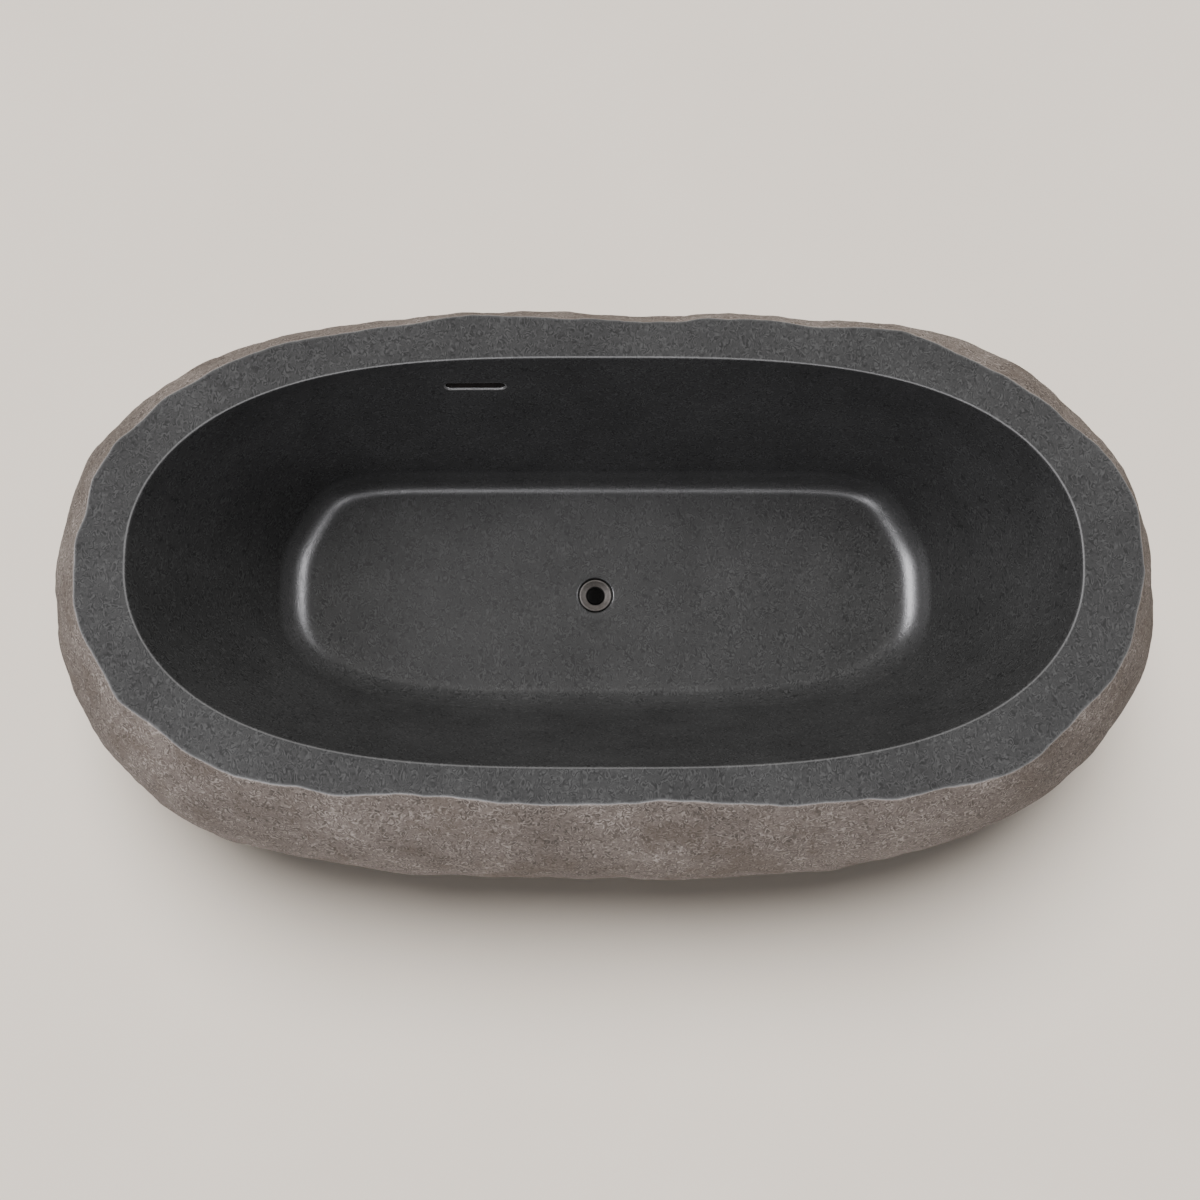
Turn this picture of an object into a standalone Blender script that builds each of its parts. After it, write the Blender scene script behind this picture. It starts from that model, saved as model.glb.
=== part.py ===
"""Freestanding bathtub carved from one basalt boulder, with its waste fitting and overflow run.

Metres, +Z up. The origin is the middle of the tub's bounding box, on the floor it stands on.
+X runs along the tub and -Y is its front; the overflow slot is in the back wall.
"""
import math

import bmesh
import bpy
from mathutils import Matrix, Vector

# The stone block: rim, widest section and sawn base, each an oval (half length, half width).
HEIGHT = 0.570
WIDEST_Z = 0.300
RIM_HALF = (0.903, 0.421)
RIM_CENTRE = (0.010, 0.025)
BODY_HALF = (0.992, 0.515)
BASE_HALF = (0.800, 0.410)
BASE_CENTRE = (0.0, 0.030)
RING_STEPS = 96
# Lumps and chips left by the natural boulder: (bearing, half width, offset outward).
RIM_LUMPS = (
    (38, 22, -0.019), (59, 9, 0.009), (68, 6, -0.006), (86, 7, -0.008), (103, 8, 0.007),
    (137, 7, -0.005), (147, 7, -0.006), (168, 7, -0.008), (196, 8, 0.005), (212, 7, 0.006),
    (229, 9, 0.011), (252, 12, -0.018), (264, 8, -0.008), (277, 13, -0.015), (298, 9, 0.006),
    (312, 16, 0.018), (347, 9, -0.005),
)
BODY_LUMPS = ((50, 24, 0.022), (145, 36, 0.012), (228, 18, 0.012), (319, 32, -0.012))
LOWER_LEVELS = (0.0, 0.04, 0.10, 0.19)
UPPER_LEVELS = (0.38, 0.44, 0.50, 0.54, HEIGHT)

# The basin: its mouth in the rim, and the line where wall and floor would meet.
FLOOR_Z = 0.130
MOUTH_HALF = (0.807, 0.349)
MOUTH_CENTRE = (0.0015, 0.025)
FLOOR_HALF = (0.601, 0.215)
FLOOR_CENTRE = (0.0055, 0.032)
FLOOR_SQUARENESS = 0.6
BACK_SQUARENESS = 14.0
COVE_START = 0.87
COVE_END = 1.22
COVE_STEPS = 4

# Waste: turned about one vertical axis through the basin floor.
WASTE_AT = Vector((-0.014, 0.026, 0.0))
WASTE_HOLE_R = 0.023
SEAT_R = 0.0335
SEAT_Z = FLOOR_Z - 0.014
RECESS_R = 0.075
RECESS_Z = 0.075
FLANGE_R = 0.03075
FLANGE_TOP_Z = 0.1285
SLEEVE_R = 0.0210
BORE_R = 0.0185
BAR_Z = 0.0735
BAR_R = 0.0030
STUD_R = 0.0040
STUD_HOLE_R = 0.0043

# Overflow: a slot in the back wall opens into a bore drilled up from the underside.
OVERFLOW_AT = Vector((-0.225, 0.377, 0.0))
SLOT_LENGTH = 0.105
SLOT_HEIGHT = 0.018
SLOT_Z = 0.480
SLOT_DEPTH = 0.066
SLOT_BACK = OVERFLOW_AT.y + 0.006
OVERFLOW_BORE_R = 0.015
POCKET_R = 0.032
POCKET_Z = 0.066
CHANNEL_WIDTH = 0.060
CHANNEL_Z = 0.064
RUN = (OVERFLOW_AT - WASTE_AT).normalized()
RUN_LENGTH = (OVERFLOW_AT - WASTE_AT).length

# The hose, and the two tails that it pushes onto.
TAIL_R = 0.009
TAIL_BORE_R = 0.007
TAIL_END = 0.055
ELBOW_TAIL_END = RUN_LENGTH - 0.046
WASTE_TAIL_Z = 0.046
ELBOW_TAIL_Z = 0.049
HOSE_R = 0.012
HOSE_WALL = 0.0025
HOSE_START = 0.033
HOSE_END = RUN_LENGTH - 0.0235
HOSE_SAG = 0.006
CLAMP_R = 0.0132
CLAMP_WIDTH = 0.009

# Spring in the stopper's cartridge.
SPRING_LOW = 0.0793
SPRING_HIGH = 0.0867
SPRING_R = 0.0040
SPRING_WIRE_R = 0.0005
SPRING_TURNS = 4

ROUND_STEPS = 40


def start_scene():
    for item in list(bpy.data.objects):
        bpy.data.objects.remove(item, do_unlink=True)
    groups = []
    for name in ("stone_bathtub", "cutters"):
        group = bpy.data.collections.new(name)
        bpy.context.scene.collection.children.link(group)
        groups.append(group)
    return groups


PARTS, CUTTERS = start_scene()


def finish(name, colour, roughness, metallic):
    skin = bpy.data.materials.new(name)
    skin.use_nodes = True
    shader = skin.node_tree.nodes["Principled BSDF"]
    shader.inputs["Base Color"].default_value = (*colour, 1.0)
    shader.inputs["Roughness"].default_value = roughness
    shader.inputs["Metallic"].default_value = metallic
    return skin


def add_part(name, data, skin):
    part = bpy.data.objects.new(name, data)
    data.materials.append(skin)
    PARTS.objects.link(part)
    return part


def add_cutter(mesh):
    cutter = bpy.data.objects.new(mesh.name, mesh)
    CUTTERS.objects.link(cutter)
    cutter.hide_render = True
    cutter.display_type = "WIRE"
    return cutter


def combine(part, tool, operation):
    step = part.modifiers.new(operation.lower() + "_" + tool.name, "BOOLEAN")
    step.object = tool
    step.operation = operation
    step.solver = "EXACT"


def mesh_from(name, shape):
    bmesh.ops.recalc_face_normals(shape, faces=shape.faces)
    mesh = bpy.data.meshes.new(name)
    shape.to_mesh(mesh)
    shape.free()
    return mesh


def drum(name, radius, start, end, sides=ROUND_STEPS):
    """A cylinder or prism from one point to another."""
    along = end - start
    turn = along.to_track_quat("Z", "Y").to_matrix().to_4x4()
    shape = bmesh.new()
    bmesh.ops.create_cone(shape, cap_ends=True, segments=sides, radius1=radius, radius2=radius,
                          depth=along.length, matrix=Matrix.Translation((start + end) / 2) @ turn)
    return mesh_from(name, shape)


def at_height(point, z):
    return Vector((point.x, point.y, z))


def upright_drum(name, radius, at, low, high, sides=ROUND_STEPS):
    return drum(name, radius, at_height(at, low), at_height(at, high), sides)


def half_section(name, outline):
    """Radius and height pairs, down the outer side; a ring's outline closes on itself."""
    mesh = bpy.data.meshes.new(name)
    edges = [(i, i + 1) for i in range(len(outline) - 1)]
    if outline[0][0] > 0:
        edges.append((len(outline) - 1, 0))
    mesh.from_pydata([(radius, 0, height) for radius, height in outline], edges, [])
    return mesh


def turn_about_z(piece, steps):
    turn = piece.modifiers.new("turned", "SCREW")
    turn.steps = turn.render_steps = steps
    turn.use_merge_vertices = True
    turn.merge_threshold = 0.00001


def turned(name, outline, at, skin, steps=ROUND_STEPS):
    part = add_part(name, half_section(name, outline), skin)
    part.location = at
    turn_about_z(part, steps)
    return part


def turned_cutter(name, outline, at, steps=ROUND_STEPS):
    cutter = add_cutter(half_section(name, outline))
    cutter.location = at
    turn_about_z(cutter, steps)
    return cutter


def tube_section(outer, inner, low, high):
    return [(outer, high), (outer, low), (inner, low), (inner, high)]


# ---------------------------------------------------------------- stone block

def lump(bearing, lumps):
    """Offset outward at a bearing, from smooth bumps that fade to nothing at their edges."""
    total = 0.0
    for centre, half_width, height in lumps:
        away = abs((bearing - centre + 180) % 360 - 180) / half_width
        if away < 1:
            total += height * 0.5 * (1 + math.cos(math.pi * away))
    return total


def oval(half, centre, lumps=(), squareness=0.0, back_squareness=0.0):
    """A superellipse, fuller along its sides than at its ends, and straighter along its back."""
    points = []
    for i in range(RING_STEPS):
        bearing = 360 * i / RING_STEPS
        c, s = math.cos(math.radians(bearing)), math.sin(math.radians(bearing))
        power = 2.35 + 0.54 * s * s + squareness + back_squareness * max(s, 0.0) ** 6
        reach = (abs(c) ** power + abs(s) ** power) ** (-1 / power)
        outward = Vector((c / half[0], s / half[1])).normalized()
        edge = Vector((half[0] * c, half[1] * s)) * reach
        points.append(edge + outward * lump(bearing, lumps) + Vector(centre))
    return points


def centred(points):
    """The outline moved so that its bounding box is centred on the origin."""
    xs, ys = [p.x for p in points], [p.y for p in points]
    middle = Vector((min(xs) + max(xs), min(ys) + max(ys))) / 2
    return [p - middle for p in points]


def between(first, second, share):
    return [a.lerp(b, share) for a, b in zip(first, second)]


def loft(name, sections):
    """A closed solid through level outlines, each with its height."""
    shape = bmesh.new()
    rings = [[shape.verts.new((p.x, p.y, z)) for p in outline] for outline, z in sections]
    for low, high in zip(rings, rings[1:]):
        for i in range(RING_STEPS):
            j = (i + 1) % RING_STEPS
            shape.faces.new((low[i], low[j], high[j], high[i]))
    shape.faces.new(rings[0])
    shape.faces.new(rings[-1])
    bmesh.ops.triangulate(shape, faces=shape.faces)
    return mesh_from(name, shape)


def boulder_sections():
    """The skin swells from the rim to the widest level, then tucks under to the base."""
    rim = oval(RIM_HALF, RIM_CENTRE, RIM_LUMPS)
    body = centred(oval(BODY_HALF, (0, 0), BODY_LUMPS))
    base = oval(BASE_HALF, BASE_CENTRE)
    lower = [(between(body, base, (1 - z / WIDEST_Z) ** 2.2), z) for z in LOWER_LEVELS]
    rise = HEIGHT - WIDEST_Z
    upper = [(between(body, rim, ((z - WIDEST_Z) / rise) ** 2), z) for z in UPPER_LEVELS]
    return lower + [(body, WIDEST_Z)] + upper


def basin_outline(inset):
    """The basin's outline, from its mouth at inset 0 to the foot of its wall at inset 1."""
    half = Vector(MOUTH_HALF).lerp(Vector(FLOOR_HALF), inset)
    centre = Vector(MOUTH_CENTRE).lerp(Vector(FLOOR_CENTRE), inset)
    return oval(half, centre, (), FLOOR_SQUARENESS * inset, BACK_SQUARENESS * inset)


def basin_sections():
    """Floor, cove and sloping wall; the cove bends towards the line where the two would meet."""
    depth = HEIGHT - FLOOR_Z
    above = HEIGHT + 0.05
    sections = []
    for i in range(COVE_STEPS + 1):
        k = i / COVE_STEPS
        inset = (1 - k) ** 2 * COVE_END + 2 * k * (1 - k) + k * k * COVE_START
        drop = (1 - k) ** 2 + 2 * k * (1 - k) + k * k * COVE_START
        sections.append((basin_outline(inset), HEIGHT - depth * drop))
    sections += [(basin_outline(drop), HEIGHT - depth * drop) for drop in (0.40, 0.0)]
    return sections + [(basin_outline(0.0), above)]


def slot_cutter():
    """A level, round-ended pocket from the basin to just past the overflow bore."""
    sides, radius = 32, SLOT_HEIGHT / 2
    shape = bmesh.new()
    bmesh.ops.create_cone(shape, cap_ends=True, segments=sides, radius1=radius, radius2=radius,
                          depth=SLOT_DEPTH, matrix=Matrix.Rotation(math.pi / sides, 4, "Z"))
    for vert in shape.verts:
        vert.co.x += math.copysign(SLOT_LENGTH / 2 - radius, vert.co.x)
    back = Vector((OVERFLOW_AT.x, SLOT_BACK - SLOT_DEPTH / 2, SLOT_Z))
    level = Matrix.Rotation(math.pi / 2, 4, "X")
    bmesh.ops.transform(shape, matrix=Matrix.Translation(back) @ level, verts=shape.verts)
    return add_cutter(mesh_from("slot", shape))


def channel_cutter():
    """The trough in the underside that the hose lies in."""
    shape = bmesh.new()
    turn = Matrix.Rotation(math.atan2(RUN.y, RUN.x), 4, "Z")
    size = Matrix.Diagonal((RUN_LENGTH, CHANNEL_WIDTH, 2 * CHANNEL_Z, 1))
    middle = Matrix.Translation((WASTE_AT + OVERFLOW_AT) / 2)
    bmesh.ops.create_cube(shape, size=1, matrix=middle @ turn @ size)
    return add_cutter(mesh_from("channel", shape))


def flange_seat_cutter():
    """Counterbore for the flange, with its stone edge eased at 45 degrees."""
    ease, above = 0.003, 0.02
    lip = SEAT_R + ease + above
    return turned_cutter("flange_seat", [(0, FLOOR_Z + above), (lip, FLOOR_Z + above),
                                         (SEAT_R, FLOOR_Z - ease), (SEAT_R, SEAT_Z),
                                         (0, SEAT_Z)], WASTE_AT)


def stone_tub():
    stone = finish("honed_basalt", (0.085, 0.083, 0.082), 0.55, 0.0)
    tub = add_part("stone_tub", loft("stone_tub", boulder_sections()), stone)
    below = -0.010
    bore = upright_drum("overflow_bore", OVERFLOW_BORE_R, OVERFLOW_AT, below, SLOT_Z, 32)
    pocket = upright_drum("elbow_pocket", POCKET_R, OVERFLOW_AT, below, POCKET_Z)
    recess = upright_drum("waste_recess", RECESS_R, WASTE_AT, below, RECESS_Z, 64)
    hole = upright_drum("waste_hole", WASTE_HOLE_R, WASTE_AT, below, (SEAT_Z + FLOOR_Z) / 2)
    cutters = [add_cutter(loft("basin", basin_sections())), slot_cutter(), channel_cutter(),
               flange_seat_cutter()]
    cutters += [add_cutter(mesh) for mesh in (bore, pocket, recess, hole)]
    for cutter in cutters:
        combine(tub, cutter, "DIFFERENCE")


# ---------------------------------------------------------------- waste fitting

def waste_flange(bronze):
    """Dished ring, sleeve and stopper seat, with two bars across the sleeve and their hub."""
    outline = [
        (0.0285, FLANGE_TOP_Z), (FLANGE_R, FLANGE_TOP_Z - 0.0012), (FLANGE_R, 0.1185),
        (SLEEVE_R, 0.1185), (SLEEVE_R, 0.0460), (BORE_R, 0.0460), (BORE_R, 0.1035),
        (0.0155, 0.1065), (0.0155, 0.1095), (BORE_R, 0.1125), (BORE_R, 0.1188),
        (0.0195, 0.1196),
    ]
    flange = turned("waste_flange", outline, WASTE_AT, bronze)
    middle = at_height(WASTE_AT, BAR_Z)
    for name, along in (("bar_x", Vector((1, 0, 0))), ("bar_y", Vector((0, 1, 0)))):
        reach = along * (BORE_R + SLEEVE_R) / 2
        combine(flange, add_cutter(drum(name, BAR_R, middle - reach, middle + reach, 12)), "UNION")
    hub = upright_drum("hub", 0.0070, WASTE_AT, 0.0700, 0.0770, 24)
    hole = upright_drum("hub_hole", STUD_HOLE_R, WASTE_AT, 0.0600, 0.0900, 24)
    combine(flange, add_cutter(hub), "UNION")
    combine(flange, add_cutter(hole), "DIFFERENCE")


def waste_body(brass):
    """Cup screwed up onto the sleeve, with the overflow's inlet tail and the outlet."""
    outline = [
        (0.0340, 0.0717), (0.0340, 0.0660), (0.0290, 0.0630), (0.0290, 0.0345), (0.0190, 0.0345),
        (0.0190, 0.0240), (0.0163, 0.0240), (0.0163, 0.0345), (0.0140, 0.0345), (0.0140, 0.0370),
        (0.0250, 0.0385), (0.0250, 0.0560), (0.0213, 0.0580), (0.0213, 0.0717),
    ]
    cup = turned("waste_body", outline, WASTE_AT, brass)
    axis = at_height(WASTE_AT, WASTE_TAIL_Z)
    tail = drum("inlet_tail", TAIL_R, axis + RUN * 0.027, axis + RUN * TAIL_END, 32)
    bore = drum("inlet_bore", TAIL_BORE_R, axis + RUN * 0.020, axis + RUN * (TAIL_END + 0.01), 32)
    combine(cup, add_cutter(tail), "UNION")
    combine(cup, add_cutter(bore), "DIFFERENCE")


def tail_nut(brass):
    """Eight-sided slip nut: a thread over the outlet and a lip under the sealing ring."""
    nut = add_part("tail_nut", upright_drum("tail_nut", 0.0265, WASTE_AT, 0.0140, 0.0340, 8), brass)
    combine(nut, turned_cutter("nut_bore", [(0, 0.05), (0.0193, 0.05), (0.0193, 0.0200),
                                            (0.0163, 0.0200), (0.0163, 0.0), (0, 0.0)],
                               WASTE_AT), "DIFFERENCE")


def waste_fitting(bronze, brass, rubber):
    waste_flange(bronze)
    waste_body(brass)
    tail_nut(brass)
    turned("tail_pipe", tube_section(0.0160, 0.0135, 0.0020, 0.0342), WASTE_AT, brass)
    turned("flange_seal", tube_section(0.0300, 0.0235, 0.1163, 0.1182), WASTE_AT, rubber)
    turned("body_seal", tube_section(0.0335, 0.0235, 0.0720, 0.0747), WASTE_AT, rubber)
    turned("tail_seal", tube_section(0.0188, 0.0163, 0.0203, 0.0237), WASTE_AT, rubber)


# ---------------------------------------------------------------- stopper

def stopper_spring(steel):
    """Compression spring between the cartridge's floor and the foot of the stem."""
    points_per_turn = 12
    rise = SPRING_HIGH - SPRING_LOW - 2 * SPRING_WIRE_R
    count = SPRING_TURNS * points_per_turn + 1
    curve = bpy.data.curves.new("stopper_spring", "CURVE")
    curve.dimensions = "3D"
    curve.bevel_depth = SPRING_WIRE_R
    curve.bevel_resolution = 2
    curve.use_fill_caps = True
    wire = curve.splines.new("POLY")
    wire.points.add(count - 1)
    for i, point in enumerate(wire.points):
        angle = 2 * math.pi * i / points_per_turn
        height = SPRING_LOW + SPRING_WIRE_R + rise * i / (count - 1)
        point.co = (SPRING_R * math.cos(angle), SPRING_R * math.sin(angle), height, 1)
    spring = add_part("stopper_spring", curve, steel)
    spring.location = WASTE_AT


def cartridge_nut(brass):
    nut = upright_drum("cartridge_nut", 0.0078, WASTE_AT, 0.0640, 0.0697, 6)
    bore = upright_drum("cartridge_nut_bore", STUD_HOLE_R, WASTE_AT, 0.0600, 0.0750, 24)
    combine(add_part("cartridge_nut", nut, brass), add_cutter(bore), "DIFFERENCE")


def stopper(bronze, brass, rubber, steel):
    """Push-to-open stopper, closed: its stem slides in the cartridge on the flange's hub."""
    turned("stopper_cap", [(0, 0.1186), (0.0090, 0.1184), (0.0145, 0.1177), (0.0170, 0.1165),
                           (0.0170, 0.1149), (0, 0.1149)], WASTE_AT, bronze)
    turned("stopper_seal", [(0.0178, 0.1145), (0.0178, 0.1124), (0.0162, 0.1108),
                            (0.0046, 0.1108), (0.0046, 0.1145)], WASTE_AT, rubber)
    turned("stopper_stem", [(0, 0.1146), (0.0042, 0.1146), (0.0042, 0.1105), (0.0100, 0.1105),
                            (0.0100, 0.1080), (0.0040, 0.1080), (0.0040, 0.0892),
                            (0.0052, 0.0892), (0.0052, 0.0870), (0, 0.0870)],
           WASTE_AT, brass, 32)
    turned("stopper_cartridge", [(0, 0.0790), (0.0055, 0.0790), (0.0055, 0.0980),
                                 (0.0044, 0.0980), (0.0044, 0.1005), (0.0075, 0.1005),
                                 (0.0075, 0.0773), (STUD_R, 0.0773), (STUD_R, 0.0590),
                                 (0, 0.0590)], WASTE_AT, brass, 32)
    stopper_spring(steel)
    cartridge_nut(brass)


# ---------------------------------------------------------------- overflow

def overflow_elbow(brass):
    """Spigot up into the drilled bore, a round body, and a tail towards the waste."""
    outline = [(0, 0.0980), (0.0145, 0.0980), (0.0145, 0.0627), (0.0200, 0.0627),
               (0.0200, 0.0360), (0.0180, 0.0340), (0, 0.0340)]
    elbow = turned("overflow_elbow", outline, OVERFLOW_AT, brass)
    axis = at_height(OVERFLOW_AT, ELBOW_TAIL_Z)
    end = at_height(WASTE_AT, ELBOW_TAIL_Z) + RUN * ELBOW_TAIL_END
    tail = drum("elbow_tail", TAIL_R, axis - RUN * 0.015, end, 32)
    bore = drum("elbow_bore", TAIL_BORE_R, axis, end - RUN * 0.01, 32)
    shaft = upright_drum("elbow_shaft", 0.0115, OVERFLOW_AT, 0.0400, 0.1100, 32)
    combine(elbow, add_cutter(tail), "UNION")
    combine(elbow, add_cutter(shaft), "DIFFERENCE")
    combine(elbow, add_cutter(bore), "DIFFERENCE")


def hose_point(distance):
    """Middle of the hose at a distance from the waste: level on its tails, sagging between."""
    free = (distance - TAIL_END) / (ELBOW_TAIL_END - TAIL_END)
    share = min(max(free, 0.0), 1.0)
    smooth = share * share * (3 - 2 * share)
    height = WASTE_TAIL_Z + (ELBOW_TAIL_Z - WASTE_TAIL_Z) * smooth
    return at_height(WASTE_AT + RUN * distance, height - HOSE_SAG * math.sin(math.pi * share) ** 2)


def overflow_hose(rubber):
    steps = 18
    curve = bpy.data.curves.new("hose_path", "CURVE")
    curve.dimensions = "3D"
    curve.bevel_depth = HOSE_R
    curve.bevel_resolution = 6
    path = curve.splines.new("POLY")
    path.points.add(steps)
    for i, point in enumerate(path.points):
        point.co = (*hose_point(HOSE_START + (HOSE_END - HOSE_START) * i / steps), 1)
    guide = bpy.data.objects.new("hose_path", curve)
    CUTTERS.objects.link(guide)
    evaluated = guide.evaluated_get(bpy.context.evaluated_depsgraph_get())
    outside = bpy.data.meshes.new_from_object(evaluated)
    outside.name = "overflow_hose"
    bpy.data.objects.remove(guide, do_unlink=True)
    hose = add_part("overflow_hose", outside, rubber)
    wall = hose.modifiers.new("wall", "SOLIDIFY")
    wall.thickness = HOSE_WALL
    wall.offset = -1


def hose_clamp(place, distance, steel):
    """Band round the hose and the worm screw under it."""
    level = WASTE_TAIL_Z if place == "waste" else ELBOW_TAIL_Z
    middle = at_height(WASTE_AT + RUN * distance, level)
    half = CLAMP_WIDTH / 2
    band = turned("hose_clamp_" + place, tube_section(CLAMP_R, HOSE_R + 0.0003, -half, half),
                  middle, steel)
    band.rotation_euler = RUN.to_track_quat("Z", "Y").to_euler()
    across = Vector((-RUN.y, RUN.x, 0))
    screw = turned("clamp_screw_" + place,
                   [(0, 0.0090), (0.0040, 0.0090), (0.0040, 0.0060), (0.0031, 0.0060),
                    (0.0031, -0.0065), (0, -0.0065)],
                   middle - Vector((0, 0, CLAMP_R + 0.0044)), steel, 24)
    screw.rotation_euler = across.to_track_quat("Z", "Y").to_euler()


def overflow_run(brass, rubber, steel):
    overflow_elbow(brass)
    turned("elbow_seal", tube_section(0.0195, 0.0150, 0.0630, 0.0657), OVERFLOW_AT, rubber)
    overflow_hose(rubber)
    hose_clamp("waste", TAIL_END - 0.010, steel)
    hose_clamp("elbow", ELBOW_TAIL_END + 0.010, steel)


def main():
    bronze = finish("gunmetal_bronze", (0.095, 0.082, 0.072), 0.38, 0.9)
    brass = finish("cast_brass", (0.50, 0.36, 0.14), 0.35, 1.0)
    rubber = finish("black_rubber", (0.020, 0.020, 0.021), 0.70, 0.0)
    steel = finish("stainless_steel", (0.55, 0.55, 0.54), 0.30, 1.0)
    stone_tub()
    waste_fitting(bronze, brass, rubber)
    stopper(bronze, brass, rubber, steel)
    overflow_run(brass, rubber, steel)


main()
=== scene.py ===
import math

import bmesh
import bpy
from mathutils import Matrix, Vector, noise


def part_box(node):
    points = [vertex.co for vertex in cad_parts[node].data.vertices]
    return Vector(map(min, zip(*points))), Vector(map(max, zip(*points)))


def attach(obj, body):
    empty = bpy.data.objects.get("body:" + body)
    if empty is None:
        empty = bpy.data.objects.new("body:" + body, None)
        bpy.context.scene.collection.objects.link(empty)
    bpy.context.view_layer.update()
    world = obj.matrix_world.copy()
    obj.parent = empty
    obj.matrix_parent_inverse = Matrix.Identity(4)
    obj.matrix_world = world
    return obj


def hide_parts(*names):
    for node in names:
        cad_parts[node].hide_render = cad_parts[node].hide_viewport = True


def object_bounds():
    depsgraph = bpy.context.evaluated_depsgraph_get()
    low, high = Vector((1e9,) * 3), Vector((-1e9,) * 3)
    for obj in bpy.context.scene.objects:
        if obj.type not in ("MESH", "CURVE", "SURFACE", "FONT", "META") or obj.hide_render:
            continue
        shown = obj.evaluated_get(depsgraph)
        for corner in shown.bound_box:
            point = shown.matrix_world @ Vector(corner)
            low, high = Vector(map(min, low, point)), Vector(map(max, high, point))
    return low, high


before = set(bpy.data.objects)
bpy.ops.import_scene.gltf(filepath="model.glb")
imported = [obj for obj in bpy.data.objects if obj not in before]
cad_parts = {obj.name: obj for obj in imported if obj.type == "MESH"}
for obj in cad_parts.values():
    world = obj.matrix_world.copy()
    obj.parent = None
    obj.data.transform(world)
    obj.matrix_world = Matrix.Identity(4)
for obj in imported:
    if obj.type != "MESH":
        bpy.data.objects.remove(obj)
cad_low, cad_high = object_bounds()


# ---------------------------------------------------------------- the stone block
# The tub is one basalt boulder, sawn flat underneath and across the top. Its weathered skin is
# left on the outside, pecked over by hand; the top is honed to a flat rim and the basin is
# hollowed out of it and rubbed smooth, with every cut edge eased.

HEIGHT = cad_high.z
WIDEST_Z, TOP_CURVE, TUCK_CURVE = 0.300, 2.0, 2.2
RIM_HALF, RIM_CENTRE = (0.903, 0.421), (0.010, 0.025)
BODY_HALF = (0.992, 0.515)
BASE_HALF, BASE_CENTRE = (0.800, 0.410), (0.0, 0.030)
# Each lump has its bearing, its half width in degrees and how far it stands out in metres.
RIM_LUMPS = (
    (38, 22, -0.019), (59, 9, 0.009), (68, 6, -0.006), (86, 7, -0.008), (103, 8, 0.007),
    (137, 7, -0.005), (147, 7, -0.006), (168, 7, -0.008), (196, 8, 0.005), (212, 7, 0.006),
    (229, 9, 0.011), (252, 12, -0.018), (264, 8, -0.008), (277, 13, -0.015), (298, 9, 0.006),
    (312, 16, 0.018), (347, 9, -0.005),
)
BODY_LUMPS = ((50, 24, 0.022), (145, 36, 0.012), (228, 18, 0.012), (319, 32, -0.012),
              (4, 28, -0.007))
STATIONS = 640
HONED, SKIN, SLOT_PAINTED_SHADE, SLOT_LIP_PAINTED_HIGHLIGHT = range(4)

FLOOR_Z = 0.130
MOUTH_HALF, MOUTH_CENTRE = Vector((0.807, 0.349)), Vector((0.0015, 0.025))
FOOT_HALF, FOOT_CENTRE = Vector((0.601, 0.215)), Vector((0.0055, 0.032))
FOOT_SQUARENESS, BACK_SQUARENESS = 0.6, 14.0
COVE_START, COVE_END = 0.87, 1.22
MOUTH_EASE = 0.005
RIM_EASE, RIM_EASE_TOP, RIM_EASE_END = 0.003, 0.0012, 0.004
BASE_EASE = 0.004

flange_low, flange_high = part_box("waste_flange")
WASTE_AT = Vector(((flange_low.x + flange_high.x) / 2, (flange_low.y + flange_high.y) / 2, 0.0))
SEAT_R, SEAT_Z, SEAT_EASE, SEAT_LAND_R = 0.0335, 0.116, 0.003, 0.046
HOLE_R, RECESS_R, RECESS_Z, RECESS_EASE = 0.023, 0.075, 0.075, 0.003


def lump(bearing, lumps):
    """Offset outward at a bearing in degrees, from smooth bumps that fade to nothing."""
    total = 0.0
    for middle, half_width, height in lumps:
        away = abs((bearing - middle + 180) % 360 - 180) / half_width
        if away < 1:
            total += height * 0.5 * (1 + math.cos(math.pi * away))
    return total


def outward_at(bearing, half):
    """The level direction that points straight out of an oval of these half sizes."""
    turn = math.radians(bearing)
    return Vector((math.cos(turn) / half[0], math.sin(turn) / half[1])).normalized()


END_FULLNESS, SIDE_FULLNESS = 2.35, 0.54


def oval_point(bearing, half, centre, lumps=(), inset=0.0):
    """A point of an oval, fuller along its sides, and straighter at the basin's back foot."""
    c, s = math.cos(math.radians(bearing)), math.sin(math.radians(bearing))
    power = END_FULLNESS + SIDE_FULLNESS * s * s
    power += inset * (FOOT_SQUARENESS + BACK_SQUARENESS * max(s, 0.0) ** 6)
    reach = (abs(c) ** power + abs(s) ** power) ** (-1 / power)
    edge = Vector((half[0] * c, half[1] * s)) * reach
    return edge + outward_at(bearing, half) * lump(bearing, lumps) + Vector(centre)


def basin_point(bearing, inset):
    """The basin's wall line, from its mouth at inset 0 to the foot of its wall at inset 1."""
    return oval_point(bearing, MOUTH_HALF.lerp(FOOT_HALF, inset),
                      MOUTH_CENTRE.lerp(FOOT_CENTRE, inset), (), inset)


def circle_point(bearing, radius):
    """A point round the waste's axis."""
    turn = math.radians(bearing)
    return WASTE_AT.xy + radius * Vector((math.cos(turn), math.sin(turn)))


BEARINGS = [360 * i / STATIONS for i in range(STATIONS)]
rim_line = [oval_point(b, RIM_HALF, RIM_CENTRE, RIM_LUMPS) for b in BEARINGS]
body_line = [oval_point(b, BODY_HALF, (0, 0), BODY_LUMPS) for b in BEARINGS]
body_middle = Vector((min(p.x for p in body_line) + max(p.x for p in body_line),
                      min(p.y for p in body_line) + max(p.y for p in body_line))) / 2
body_line = [p - body_middle for p in body_line]
base_line = [oval_point(b, BASE_HALF, BASE_CENTRE) for b in BEARINGS]

block = bmesh.new()
station = block.verts.layers.int.new("station")
skin_share = block.verts.layers.float.new("skin")
edge_wear_and_highlight = block.verts.layers.float.new("edge_wear_and_highlight")


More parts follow.
